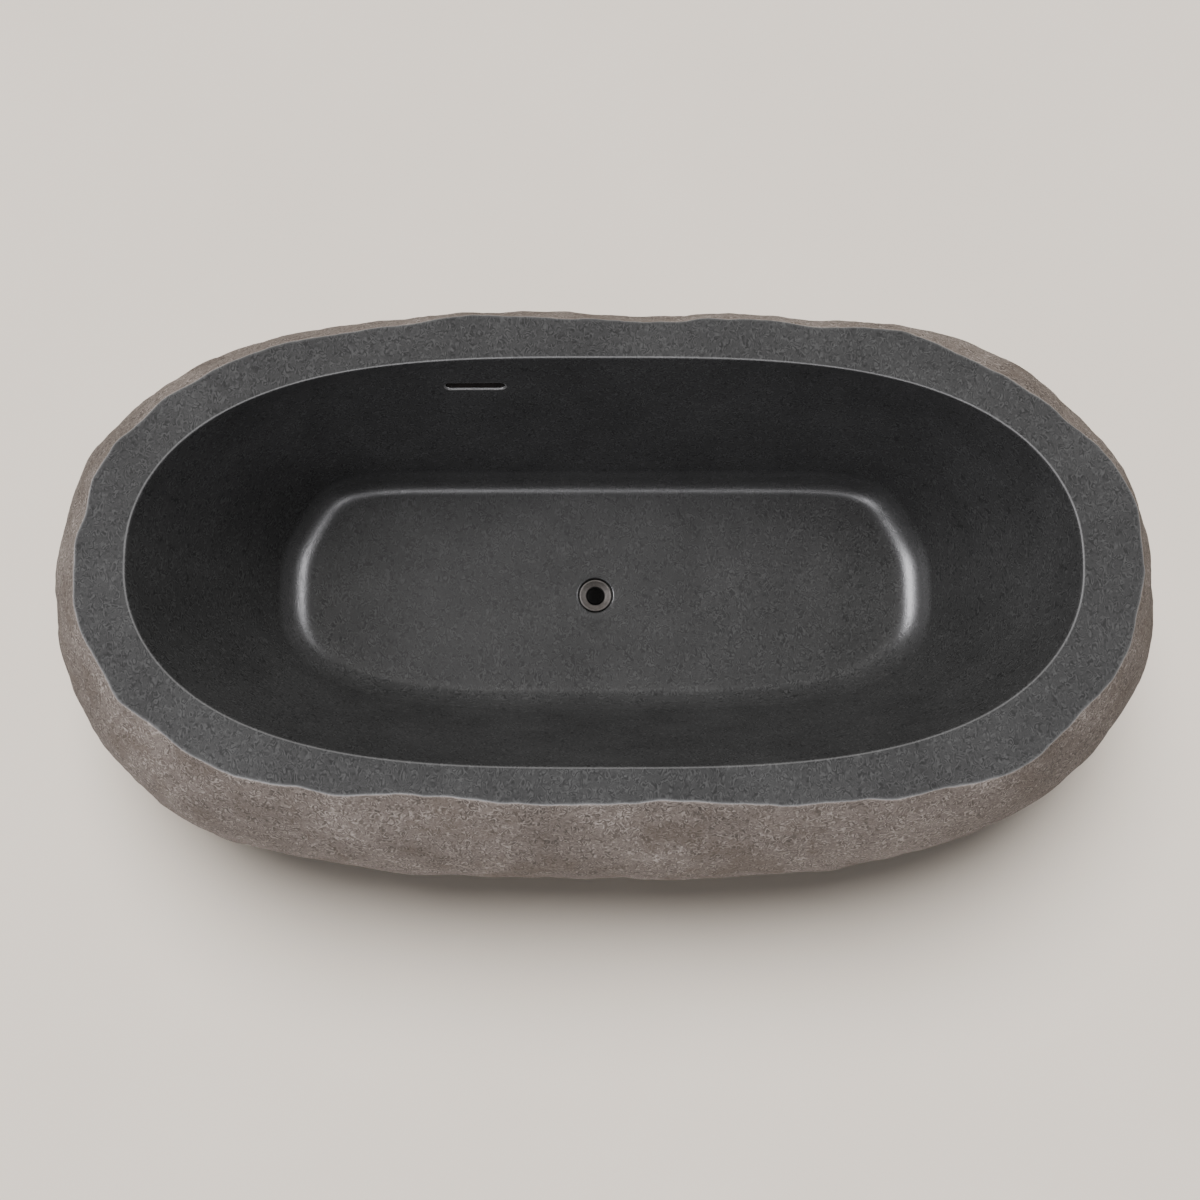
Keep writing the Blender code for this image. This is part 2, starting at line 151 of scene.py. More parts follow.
def first_ring(count, place):
    """A closed ring of points, each numbered by its bearing; place(number) says where it goes."""
    ring = bmesh.ops.create_circle(block, cap_ends=False, segments=count, radius=1.0)["verts"]
    for vert in ring:
        bearing = math.degrees(math.atan2(vert.co.y, vert.co.x)) % 360
        vert[station] = round(bearing / 360 * count) % count
        vert.co = place(vert[station])
    return list({edge for vert in ring for edge in vert.link_edges})


def next_ring(edges, place, skin=0.0, wear_and_highlight=0.0, stone=HONED):
    """Grow a band of faces from a ring, and return the ring at its new end."""
    grown = bmesh.ops.extrude_edge_only(block, edges=edges)["geom"]
    for item in grown:
        if isinstance(item, bmesh.types.BMVert):
            item.co = place(item[station])
            item[skin_share] = skin
            item[edge_wear_and_highlight] = wear_and_highlight
        elif isinstance(item, bmesh.types.BMFace):
            item.material_index = stone
    return [item for item in grown if isinstance(item, bmesh.types.BMEdge)
            and len(item.link_faces) == 1]


def skin_place(z):
    """The skin swells from the rim to the widest level, then tucks under to the base."""
    if z >= WIDEST_Z:
        share, other = ((z - WIDEST_Z) / (HEIGHT - WIDEST_Z)) ** TOP_CURVE, rim_line
    else:
        share, other = (1 - z / WIDEST_Z) ** TUCK_CURVE, base_line
    return lambda i: (*body_line[i].lerp(other[i], share), z)


def curve_point(first, middle, last, k):
    """A point of the arc from first to last that is pulled towards middle."""
    return (1 - k) ** 2 * first + 2 * k * (1 - k) * middle + k * k * last


# From the underside out to the base, up the skin and in across the flat rim.
UNDERSIDE_RING, UNDERSIDE_SHARES = 0.25, (0.5, 0.75, 0.93, 0.988)
LOW_RINGS, HIGH_RINGS, RIM_SHARES = 44, 38, (0.3, 0.7)
underside = first_ring(STATIONS, lambda i: (*WASTE_AT.xy.lerp(base_line[i], UNDERSIDE_RING), 0.0))
ring = underside
for share in UNDERSIDE_SHARES:
    ring = next_ring(ring, lambda i: (*WASTE_AT.xy.lerp(base_line[i], share), 0.0))
low_levels = [BASE_EASE + (WIDEST_Z - BASE_EASE) * (k / LOW_RINGS) ** 1.25
              for k in range(LOW_RINGS + 1)]
high_levels = [WIDEST_Z + (HEIGHT - 2 * RIM_EASE - WIDEST_Z) * k / HIGH_RINGS
               for k in range(1, HIGH_RINGS + 1)]
for z in low_levels + high_levels:
    ring = next_ring(ring, skin_place(z), skin=1.0, stone=SKIN)
ring = next_ring(ring, skin_place(HEIGHT - RIM_EASE), skin=1.0, wear_and_highlight=0.2, stone=SKIN)
ring = next_ring(ring, skin_place(HEIGHT - RIM_EASE_TOP), skin=1.0, wear_and_highlight=1.0, stone=SKIN)


def rim_place(inward):
    """A ring on the flat rim, set in from its outer edge."""
    return lambda i: (*(rim_line[i] - outward_at(BEARINGS[i], RIM_HALF) * inward), HEIGHT)


ring = next_ring(ring, rim_place(RIM_EASE_TOP), skin=1.0, wear_and_highlight=0.2)
ring = next_ring(ring, rim_place(RIM_EASE_END), skin=1.0)
for share in RIM_SHARES:
    ring = next_ring(ring, lambda i: (*rim_line[i].lerp(
        basin_point(BEARINGS[i], 0), share), HEIGHT), skin=0.5 - 0.5 * share)


# Over the eased mouth, down the wall, round the cove and in across the floor.
# The middle step sets where the mouth's eased edge is painted pale, partly rubbed and partly a
# painted highlight.
MOUTH_STEPS, WORN_AND_HIGHLIT_STEP, WORN_AND_HIGHLIT_SPREAD = (0.0, 0.17, 0.33, 0.5, 0.67, 0.83, 1.0), 0.42, 0.22
WALL_DROPS = (0.04, 0.12, 0.24, 0.36, 0.48, 0.60, 0.72, 0.81)
COVE_RINGS, FLOOR_SHARES, FLOOR_INNER_R = 18, (0.15, 0.35, 0.6, 0.82), 0.050


def mouth_place(k):
    """A ring on the mouth's eased edge, from the rim at 0 to the wall at 1."""
    def place(i):
        corner = basin_point(BEARINGS[i], 0)
        outer = corner + outward_at(BEARINGS[i], MOUTH_HALF) * MOUTH_EASE
        inner = basin_point(BEARINGS[i], MOUTH_EASE / (HEIGHT - FLOOR_Z))
        return curve_point(Vector((*outer, HEIGHT)), Vector((*corner, HEIGHT)),
                           Vector((*inner, HEIGHT - MOUTH_EASE)), k)
    return place


for k in MOUTH_STEPS:
    ring = next_ring(ring, mouth_place(k), wear_and_highlight=max(0.0, 1 - abs(k - WORN_AND_HIGHLIT_STEP) / WORN_AND_HIGHLIT_SPREAD))
for drop in WALL_DROPS:
    ring = next_ring(ring, lambda i: (*basin_point(BEARINGS[i], drop),
                                      HEIGHT - (HEIGHT - FLOOR_Z) * drop))
for step in range(COVE_RINGS + 1):
    k = step / COVE_RINGS
    inset = curve_point(COVE_START, 1.0, COVE_END, k)
    level = HEIGHT - (HEIGHT - FLOOR_Z) * curve_point(COVE_START, 1.0, 1.0, k)
    ring = next_ring(ring, lambda i: (*basin_point(BEARINGS[i], inset), level))
for share in FLOOR_SHARES:
    ring = next_ring(ring, lambda i: (*basin_point(BEARINGS[i], COVE_END).lerp(
        circle_point(BEARINGS[i], FLOOR_INNER_R), share), FLOOR_Z))
floor_ring = ring

# The waste's seat and hole, and the recess under it, are turned about the waste's axis.
WASTE_STATIONS = 96


def round_place(radius, z):
    """A ring round the waste's axis, at one level."""
    return lambda i: (*circle_point(360 * i / WASTE_STATIONS, radius), z)


seat_top = first_ring(WASTE_STATIONS, round_place(SEAT_LAND_R, FLOOR_Z))
ring = seat_top
for radius, z in ((SEAT_R + SEAT_EASE, FLOOR_Z), (SEAT_R + 0.0017, FLOOR_Z - 0.0004),
                  (SEAT_R + 0.0006, FLOOR_Z - 0.0015), (SEAT_R, FLOOR_Z - SEAT_EASE),
                  (SEAT_R, SEAT_Z), (HOLE_R, SEAT_Z), (HOLE_R, RECESS_Z), (RECESS_R, RECESS_Z),
                  (RECESS_R, RECESS_EASE), (RECESS_R + RECESS_EASE, 0.0)):
    ring = next_ring(ring, round_place(radius, z))
bmesh.ops.bridge_loops(block, edges=floor_ring + seat_top)
bmesh.ops.bridge_loops(block, edges=ring + underside)
bmesh.ops.recalc_face_normals(block, faces=block.faces)
block.normal_update()

# The boulder's own relief: broad swells, scallops that meet in creases, dents and small bruises.
# Each has a depth in metres, a fineness, and a place of its own in the noise.
SWELL = (0.0040, 4.5, Vector((3.1, 0.4, 7.7)))
SCALLOP = (0.0090, 6.5, Vector((9.2, 5.5, 1.3)))
DENT = (0.0034, 19, Vector((0.7, 8.1, 2.9)))
BRUISE = (0.0012, 55, Vector((5.3, 1.9, 6.1)))
SCALLOP_BASE, SKIN_BASE = 0.0040, 0.0010
HIGH_SPOT, HIGH_SPOT_LEFT = 0.001, 0.4
EDGE_BAND = 0.05


def unevenness(at, kind):
    """How a kind of relief rises and falls at one point of the skin, between -1 and 1."""
    return noise.noise(at * kind[1] + kind[2])


for vert in block.verts:
    share = vert[skin_share]
    if share == 0:
        continue
    at = vert.co
    near_rim = max(0.0, 1 - (HEIGHT - at.z) / EDGE_BAND)
    near_base = max(0.0, 1 - at.z / EDGE_BAND)
    swell = SWELL[0] * unevenness(at, SWELL)
    scallop = SCALLOP[0] * abs(unevenness(at, SCALLOP)) - SCALLOP_BASE
    dent = DENT[0] * unevenness(at, DENT)
    bruise = BRUISE[0] * unevenness(at, BRUISE)
    depth = swell * (1 - 0.7 * near_rim) + scallop * (1 - 0.3 * near_rim) + dent + bruise
    depth = min(depth, HIGH_SPOT + HIGH_SPOT_LEFT * depth) - SKIN_BASE
    # Close under the rim the skin only moves level, so that the rim stays flat.
    push = vert.normal.copy()
    if near_rim > 0.75 or vert[edge_wear_and_highlight] > 0 or at.z > HEIGHT - 0.001:
        push.z = 0
        push = push.normalized() if push.length > 0.2 else Vector(
            (*outward_at(BEARINGS[vert[station]], RIM_HALF), 0))
    push.z *= 1 - near_base
    vert.co = at + push * depth * share

block_mesh = bpy.data.meshes.new("stone_tub_shell")
for stone in ("honed_basalt", "boulder_skin", "slot_painted_shade", "slot_lip_painted_highlight"):
    block_mesh.materials.append(bpy.data.materials.new(stone))
block.to_mesh(block_mesh)
block.free()
block_blank = bpy.data.objects.new("stone_tub_blank", block_mesh)
bpy.context.scene.collection.objects.link(block_blank)

# The overflow: a slot that opens into the wall with an eased mouth, a bore drilled up to it from
# the underside, and the trough and pocket that its hose and elbow lie in.
OVERFLOW_AT = Vector((-0.225, 0.377, 0.0))
SLOT_HALF, SLOT_R, SLOT_Z, SLOT_EASE = 0.0525, 0.009, 0.480, 0.0032
SLOT_POINTS, SLOT_BACK = 64, OVERFLOW_AT.y + 0.006
CUTTER_FLARE, CUTTER_START, CUTTER_LIP, CUTTER_LIP_AT = 1.6, -0.010, 1.1, -0.0012
BORE_R, POCKET_R, POCKET_Z = 0.015, 0.032, 0.066
TROUGH_WIDTH, TROUGH_Z = 0.060, 0.064


def back_wall_y(x, z):
    """Where the straight part of the back wall stands, found by halving the bearing."""
    inset = (HEIGHT - z) / (HEIGHT - FLOOR_Z)
    low, high = 90.0, 180.0
    for _ in range(30):
        middle = (low + high) / 2
        if basin_point(middle, inset).x > x:
            low = middle
        else:
            high = middle
    return basin_point(low, inset).y


def slot_outline(i, grow):
    """A round-ended outline, longer than it is high, grown by an amount all round."""
    turn = 2 * math.pi * (i + 0.5) / SLOT_POINTS
    radius = SLOT_R + grow
    x = math.copysign(SLOT_HALF - SLOT_R, math.cos(turn)) + radius * math.cos(turn)
    return OVERFLOW_AT.x + x, SLOT_Z + radius * math.sin(turn)


def cutter_object(name, shape):
    """A finished shape as an object, to cut from or join to a piece."""
    bmesh.ops.recalc_face_normals(shape, faces=shape.faces)
    mesh = bpy.data.meshes.new(name)
    shape.to_mesh(mesh)
    shape.free()
    cutter = bpy.data.objects.new(name, mesh)
    bpy.context.scene.collection.objects.link(cutter)
    return cutter


slot = bmesh.new()
bmesh.ops.create_circle(slot, cap_ends=True, segments=SLOT_POINTS, radius=1.0)
slot_edges = list(slot.edges)
slot_index = slot.verts.layers.int.new("station")
for i, vert in enumerate(sorted(slot.verts, key=lambda v: math.atan2(v.co.y, v.co.x) % math.tau)):
    vert[slot_index] = i
    x, z = slot_outline(i, SLOT_EASE * CUTTER_FLARE)
    vert.co = (x, back_wall_y(x, z) + CUTTER_START, z)

# The cutter starts out in the basin, rounds the slot's mouth over, and then runs straight in.
steps = [(SLOT_EASE * CUTTER_LIP, CUTTER_LIP_AT)]
steps += [(SLOT_EASE * (1 - math.sin(t)), SLOT_EASE * (1 - math.cos(t)))
          for t in (math.radians(a) for a in range(4, 91, 14))]
for grow, depth in steps + [(0.0, None)]:
    grown = bmesh.ops.extrude_edge_only(slot, edges=slot_edges)["geom"]
    for vert in (g for g in grown if isinstance(g, bmesh.types.BMVert)):
        x, z = slot_outline(vert[slot_index], grow)
        vert.co = (x, SLOT_BACK if depth is None else back_wall_y(x, z) + depth, z)
    slot_edges = [g for g in grown if isinstance(g, bmesh.types.BMEdge)
                  and len(g.link_faces) == 1]
bmesh.ops.contextual_create(slot, geom=slot_edges)
# The deep faces get the painted shade inside the slot, the others the painted highlight on its lip.
for face in slot.faces:
    deep = max(vert.co.y for vert in face.verts) > SLOT_BACK - 0.001
    face.material_index = SLOT_PAINTED_SHADE if deep else SLOT_LIP_PAINTED_HIGHLIGHT
bmesh.ops.triangulate(slot, faces=slot.faces)

BELOW_BASE = 0.01


def drilled_hole(radius, top, segments):
    """A round cutter on the overflow's axis, from just under the base up to its top."""
    hole = bmesh.new()
    bmesh.ops.create_cone(
        hole, cap_ends=True, segments=segments, radius1=radius, radius2=radius,
        depth=top + BELOW_BASE,
        matrix=Matrix.Translation((*OVERFLOW_AT.xy, (top - BELOW_BASE) / 2)))
    return hole


bore = drilled_hole(BORE_R, SLOT_Z, 48)
pocket = drilled_hole(POCKET_R, POCKET_Z, 64)
trough = bmesh.new()
run = (OVERFLOW_AT - WASTE_AT).normalized()
run_length = (OVERFLOW_AT - WASTE_AT).length
bmesh.ops.create_cube(trough, size=1, matrix=Matrix.Translation((WASTE_AT + OVERFLOW_AT) / 2)
                      @ Matrix.Rotation(math.atan2(run.y, run.x), 4, "Z")
                      @ Matrix.Diagonal((run_length, TROUGH_WIDTH, 2 * TROUGH_Z, 1)))
cutters = [cutter_object(name, shape) for name, shape in (
    ("slot_cut", slot), ("bore_cut", bore), ("pocket_cut", pocket), ("trough_cut", trough))]
for cutter in cutters:
    cut = block_blank.modifiers.new(cutter.name, "BOOLEAN")
    cut.object, cut.operation, cut.solver = cutter, "DIFFERENCE", "EXACT"
evaluated = block_blank.evaluated_get(bpy.context.evaluated_depsgraph_get())
tub_mesh = bpy.data.meshes.new_from_object(evaluated)
tub_mesh.name = "stone_tub_visual"
for spare in cutters + [block_blank]:
    bpy.data.objects.remove(spare, do_unlink=True)
tub_mesh.shade_smooth()
tub_mesh.set_sharp_from_angle(angle=math.radians(40))
stone_tub = bpy.data.objects.new("stone_tub_visual", tub_mesh)
bpy.context.scene.collection.objects.link(stone_tub)


def add_node(tree, kind, *inputs, **settings):
    """A shader node with its settings; each input is (socket, value or another node's output)."""
    node = tree.nodes.new(kind)
    for key, value in settings.items():
        setattr(node, key, value)
    for socket, value in inputs:
        if isinstance(value, bpy.types.NodeSocket):
            tree.links.new(value, node.inputs[socket])
        else:
            node.inputs[socket].default_value = value
    return node


def math_node(tree, operation, first, second=0.0, clamp=False):
    """One sum on two values, each a number or another node's output."""
    return add_node(tree, "ShaderNodeMath", (0, first), (1, second),
                    operation=operation, use_clamp=clamp).outputs[0]


def colour_ramp(tree, fac, stops):
    """A colour that changes with fac, from stops of (position, colour)."""
    node = add_node(tree, "ShaderNodeValToRGB", (0, fac))
    ramp = node.color_ramp
    while len(ramp.elements) < len(stops):
        ramp.elements.new(0.5)
    for element, (place, colour) in zip(ramp.elements, stops):
        element.position = place
        element.color = (*colour, 1.0)
    return node.outputs[0]


def grey_ramp(tree, fac, low, high):
    """0 below low, 1 above high, with a smooth step between."""
    return add_node(tree, "ShaderNodeMapRange", (0, fac), (1, low), (2, high), (3, 0.0), (4, 1.0),
                    interpolation_type="SMOOTHSTEP").outputs[0]


def speckle(tree, coords, scale, detail=2.0, roughness=0.5, distortion=0.0):
    """Soft random mottling, as many marks to the metre as its scale."""
    return add_node(tree, "ShaderNodeTexNoise", ("Vector", coords), ("Scale", scale),
                    ("Detail", detail), ("Roughness", roughness),
                    ("Distortion", distortion)).outputs[0]


def stretched(tree, coords, turn, squeeze):
    """Coordinates turned and squeezed, so that marks run long one way."""
    return add_node(tree, "ShaderNodeMapping", (0, coords), ("Rotation", turn),
                    ("Scale", squeeze)).outputs[0]


def worm_marks(tree, coords, scale, turns):
    """Curled strokes: a swirling field folded on itself, 0 in a groove and 1 on a ridge."""
    field = speckle(tree, coords, scale, 1.2, 0.5, 0.35)
    wave = math_node(tree, "SINE", math_node(tree, "MULTIPLY", field, turns * math.tau))
    return math_node(tree, "ADD", math_node(tree, "MULTIPLY", wave, 0.5), 0.5)


def blend(tree, share, first, second):
    """First at share 0, second at share 1."""
    return add_node(tree, "ShaderNodeMix", (0, share), (2, first), (3, second)).outputs[0]


def blend_colours(tree, share, first, second):
    """The same for two colours."""
    return add_node(tree, "ShaderNodeMix", (0, share), (6, first), (7, second),
                    data_type="RGBA").outputs[2]


def new_finish(name):
    """A material's node tree, its shader, and the coordinates that its patterns read."""
    finish = bpy.data.materials.get(name) or bpy.data.materials.new(name)
    finish.use_nodes = True
    tree = finish.node_tree
    shader = tree.nodes["Principled BSDF"]
    coords = add_node(tree, "ShaderNodeTexCoord").outputs["Object"]
    return tree, shader, coords


def set_bump(tree, shader, strength, distance, relief):
    """Fine relief as a bump: how strong, how high in metres, and the pattern it follows."""
    bump = add_node(tree, "ShaderNodeBump", ("Strength", strength), ("Distance", distance),
                    ("Height", relief))
    tree.links.new(bump.outputs[0], shader.inputs["Normal"])


def set_tones(tree, shader, pattern, low, dark, high, light):
    """Base colour: dark where the pattern is at low, light where it is at high."""
    tones = colour_ramp(tree, pattern, ((low, dark), (high, light)))
    tree.links.new(tones, shader.inputs["Base Color"])


def set_roughness(tree, shader, least, spread, pattern):
    """Roughness from least up to least + spread, as the pattern goes from 0 to 1."""
    rough = math_node(tree, "ADD", least, math_node(tree, "MULTIPLY", pattern, spread))
    tree.links.new(rough, shader.inputs["Roughness"])


# Honed basalt, on the rim and all through the basin: fine curled marks, dull on the rim and the
# walls, with a satin sheen from the foot of the wall down, and pale along the eased edges, partly
# rubbed and partly a painted highlight.
RIM_TONES = ((0.27, (0.018, 0.018, 0.018)), (0.50, (0.034, 0.034, 0.034)),
             (0.73, (0.058, 0.058, 0.058)))
BASIN_TONES = ((0.27, (0.014, 0.014, 0.014)), (0.50, (0.029, 0.029, 0.029)),
               (0.73, (0.048, 0.048, 0.048)))
RUBBED_AND_HIGHLIT_EDGE = (0.30, 0.298, 0.295, 1)
SHEEN_FULL_Z, SHEEN_GONE_Z = FLOOR_Z + 0.030, FLOOR_Z + 0.056
INSIDE_TOP_Z, RIM_BOTTOM_Z = HEIGHT - 0.006, HEIGHT - 0.001

tree, shader, coords = new_finish("honed_basalt")
marks = blend(tree, grey_ramp(tree, speckle(tree, coords, 34, 1.0), 0.44, 0.56),
              worm_marks(tree, coords, 96, 5.0),
              worm_marks(tree, stretched(tree, coords, (0.4, 0.2, 0.9), (1.0, 0.6, 1.0)), 104, 5.0))
faint = grey_ramp(tree, speckle(tree, coords, 95, 1.0), 0.30, 0.66)
marks = blend(tree, faint, 0.5, marks)
grain = speckle(tree, coords, 520, 2.0, 0.6)
clouds = speckle(tree, coords, 8, 4.0, 0.55, 0.3)
height = add_node(tree, "ShaderNodeSeparateXYZ", (0, coords)).outputs[2]
inside = math_node(tree, "SUBTRACT", 1.0, grey_ramp(tree, height, INSIDE_TOP_Z, RIM_BOTTOM_Z))
wear_and_highlight = add_node(tree, "ShaderNodeAttribute", attribute_name="edge_wear_and_highlight").outputs["Fac"]
tone = math_node(tree, "ADD", math_node(tree, "MULTIPLY", marks, 0.40),
                 math_node(tree, "MULTIPLY", grain, 0.30))
tone = math_node(tree, "ADD", tone, math_node(tree, "MULTIPLY", clouds, 0.30))
stone_colour = blend_colours(tree, inside, colour_ramp(tree, tone, RIM_TONES),
                             colour_ramp(tree, tone, BASIN_TONES))
# The pale eased edges are partly rubbed stone and partly a painted highlight.
worn_and_highlit = blend_colours(tree, math_node(tree, "MULTIPLY", wear_and_highlight, 0.25), stone_colour, RUBBED_AND_HIGHLIT_EDGE)
tree.links.new(worn_and_highlit, shader.inputs["Base Color"])
foot = math_node(tree, "SUBTRACT", 1.0, grey_ramp(tree, height, SHEEN_FULL_Z, SHEEN_GONE_Z))
rough = math_node(tree, "ADD", math_node(tree, "MULTIPLY", grain, 0.10),
                  math_node(tree, "SUBTRACT", 0.72, math_node(tree, "MULTIPLY", inside, 0.44)))
wall = math_node(tree, "MULTIPLY", inside, math_node(tree, "SUBTRACT", 1.0, foot))
rough = math_node(tree, "ADD", rough, math_node(tree, "MULTIPLY", wall, 0.20))
rough = math_node(tree, "SUBTRACT", rough, math_node(tree, "MULTIPLY", wear_and_highlight, 0.40), clamp=True)
tree.links.new(rough, shader.inputs["Roughness"])
gloss = math_node(tree, "ADD", 0.08, math_node(tree, "MULTIPLY", foot, 0.42))
gloss = math_node(tree, "ADD", gloss, math_node(tree, "MULTIPLY", wear_and_highlight, 0.50))
tree.links.new(gloss, shader.inputs["Specular IOR Level"])
relief = math_node(tree, "ADD", math_node(tree, "MULTIPLY", marks, 0.8),
                   math_node(tree, "MULTIPLY", grain, 0.6))
set_bump(tree, shader, 0.30, 0.0005, relief)

# The boulder's skin: a warm grey weathered crust, pecked all over, with brown patches that
# are heavier and darker towards the bottom.
CRUST_TONES = ((0.30, (0.040, 0.033, 0.028)), (0.44, (0.094, 0.078, 0.068)),
               (0.56, (0.142, 0.121, 0.108)), (0.72, (0.290, 0.260, 0.238)))
BROWN_PATCH_COLOUR = (0.066, 0.049, 0.036, 1)
CHIPPED_EDGE = (0.38, 0.34, 0.32, 1)
BROWN_FULL_Z, BROWN_GONE_Z = 0.10, 0.46

tree, shader, coords = new_finish("boulder_skin")
marks = blend(tree, grey_ramp(tree, speckle(tree, coords, 20, 1.5), 0.44, 0.56),
              worm_marks(tree, coords, 76, 5.0),
              worm_marks(tree, stretched(tree, coords, (0.5, 0.9, 0.4), (1.0, 1.0, 0.6)), 86, 5.0))
faint = grey_ramp(tree, speckle(tree, coords, 85, 1.0), 0.28, 0.62)
marks = blend(tree, faint, 0.5, marks)
grain = speckle(tree, coords, 300, 3.0, 0.65)
clouds = speckle(tree, coords, 6.0, 5.0, 0.62, 0.5)
tone = math_node(tree, "ADD", math_node(tree, "MULTIPLY", marks, 0.27),
                 math_node(tree, "MULTIPLY", grain, 0.36))
tone = math_node(tree, "ADD", tone, math_node(tree, "MULTIPLY", clouds, 0.37))
crust = colour_ramp(tree, tone, CRUST_TONES)
# Brown patches all over, heavier and darker towards the bottom.
brown_patches = grey_ramp(tree, speckle(tree, coords, 9.0, 3.0, 0.6, 0.8), 0.50, 0.66)
height = add_node(tree, "ShaderNodeSeparateXYZ", (0, coords)).outputs[2]
low_down = math_node(tree, "SUBTRACT", 1.0, grey_ramp(tree, height, BROWN_FULL_Z, BROWN_GONE_Z))
brown_share = math_node(tree, "MULTIPLY", brown_patches, math_node(tree, "ADD", 0.35, math_node(
    tree, "MULTIPLY", low_down, 0.55)))
crust = blend_colours(tree, brown_share, crust, BROWN_PATCH_COLOUR)
wear_and_highlight = add_node(tree, "ShaderNodeAttribute", attribute_name="edge_wear_and_highlight").outputs["Fac"]
crust = blend_colours(tree, math_node(tree, "MULTIPLY", wear_and_highlight, 0.45), crust, CHIPPED_EDGE)
tree.links.new(crust, shader.inputs["Base Color"])
shader.inputs["Roughness"].default_value = 0.88
shader.inputs["Specular IOR Level"].default_value = 0.15
relief = math_node(tree, "ADD", marks, math_node(tree, "MULTIPLY", grain, 0.7))
set_bump(tree, shader, 0.7, 0.0016, relief)

# Inside the slot the stone is painted almost black as painted shade, and the slot's eased edge is
# polished and painted pale as a painted highlight.
tree, shader, coords = new_finish("slot_painted_shade")
set_tones(tree, shader, speckle(tree, coords, 60, 3.0, 0.6),
          0.3, (0.0035, 0.0028, 0.0022), 0.7, (0.0080, 0.0060, 0.0045))
shader.inputs["Roughness"].default_value = 0.85
shader.inputs["Specular IOR Level"].default_value = 0.1

tree, shader, coords = new_finish("slot_lip_painted_highlight")
# The lip's pale colour is a painted highlight; its low roughness is real polish.
set_tones(tree, shader, speckle(tree, coords, 240, 2.0, 0.6),
          0.3, (0.085, 0.084, 0.083), 0.7, (0.135, 0.134, 0.132))
shader.inputs["Roughness"].default_value = 0.32
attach(stone_tub, "tub")
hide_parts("stone_tub")


# ---------------------------------------------------------------- the waste's ring
# The flange is turned from brass and plated dark: a dished ring that sits on a seal in the stone,
# and under it a sleeve with the stopper's seat and two bars that carry the cartridge.

FLANGE_TOP = flange_high.z
FLANGE_R = (flange_high.x - flange_low.x) / 2
SLEEVE_R, BORE_WALL_R = 0.0210, 0.0185
PLATE_UNDER_Z, PLATE_EDGE_Z, PLATE_EDGE_R = 0.1185, 0.1190, 0.03025
VALVE_SEAT_R, VALVE_SEAT_LEVELS = 0.0155, (0.1035, 0.1065, 0.1095, 0.1125)
BAR_Z, BAR_R = 0.0735, 0.0030
HUB_R, HUB_LOW, HUB_HIGH = 0.0070, 0.0700, 0.0770
STUD_HOLE_R, STUD_HOLE_LOW, STUD_HOLE_HIGH = 0.0043, 0.06, 0.09


def turned_shape(profile, steps):
    """A profile of radius and height pairs, spun about the waste's axis."""
    shape = bmesh.new()
    line = [shape.verts.new((radius, 0, level)) for radius, level in profile]
    ends = list(zip(line, line[1:]))
    if profile[0][0] > 0:
        ends.append((line[-1], line[0]))
    for pair in ends:
        shape.edges.new(pair)
    bmesh.ops.spin(shape, geom=list(shape.verts) + list(shape.edges), cent=(0, 0, 0),
                   axis=(0, 0, 1), angle=math.tau, steps=steps, use_merge=True)
    bmesh.ops.remove_doubles(shape, verts=shape.verts, dist=0.000005)
    bmesh.ops.recalc_face_normals(shape, faces=shape.faces)
    bmesh.ops.translate(shape, vec=WASTE_AT, verts=shape.verts)
    return shape


CREASE_ANGLE = math.radians(35)


def new_piece(name, shape, finish):
    """A finished shape as a piece with one finish, smooth but for its creases."""
    mesh = bpy.data.meshes.new(name)
    shape.to_mesh(mesh)
    shape.free()
    mesh.materials.append(bpy.data.materials[finish])
    mesh.shade_smooth()
    mesh.set_sharp_from_angle(angle=CREASE_ANGLE)
    piece = bpy.data.objects.new(name, mesh)
    bpy.context.scene.collection.objects.link(piece)
    return piece


tree, shader, coords = new_finish("dark_bronze_plate")
polish = speckle(tree, stretched(tree, coords, (0, 0, 0), (1.0, 1.0, 6.0)), 900, 3.0, 0.6)
set_tones(tree, shader, speckle(tree, coords, 160, 3.0, 0.6, 0.4),
          0.35, (0.060, 0.053, 0.048), 0.65, (0.094, 0.084, 0.077))
set_roughness(tree, shader, 0.44, 0.2, polish)
shader.inputs["Metallic"].default_value = 0.25
set_bump(tree, shader, 0.15, 0.0002, polish)

rounded_lip = ((0.0285, FLANGE_TOP), (0.0297, FLANGE_TOP - 0.0002), (0.0304, FLANGE_TOP - 0.0006),
               (FLANGE_R, FLANGE_TOP - 0.0014))
plate_under = ((FLANGE_R, PLATE_EDGE_Z), (PLATE_EDGE_R, PLATE_UNDER_Z), (SLEEVE_R, PLATE_UNDER_Z))
sleeve_walls = ((SLEEVE_R, flange_low.z), (BORE_WALL_R, flange_low.z))
valve_seat = tuple(zip((BORE_WALL_R, VALVE_SEAT_R, VALVE_SEAT_R, BORE_WALL_R), VALVE_SEAT_LEVELS))
dished_top = ((BORE_WALL_R, 0.1188), (0.0188, 0.1194), (0.0195, 0.1198),
              (0.0275, FLANGE_TOP - 0.0007), (0.0280, FLANGE_TOP - 0.0002))
flange = turned_shape(rounded_lip + plate_under + sleeve_walls + valve_seat + dished_top, 96)
flange_piece = new_piece("waste_flange_visual", flange, "dark_bronze_plate")
bars = []
for name, turn in (("bar_x", Matrix.Rotation(math.pi / 2, 4, "Y")),
                   ("bar_y", Matrix.Rotation(math.pi / 2, 4, "X"))):
    bar = bmesh.new()
    bmesh.ops.create_cone(bar, cap_ends=True, segments=20, radius1=BAR_R, radius2=BAR_R,
                          depth=BORE_WALL_R + SLEEVE_R,
                          matrix=Matrix.Translation((*WASTE_AT.xy, BAR_Z)) @ turn)
    bars.append((cutter_object(name, bar), "UNION"))
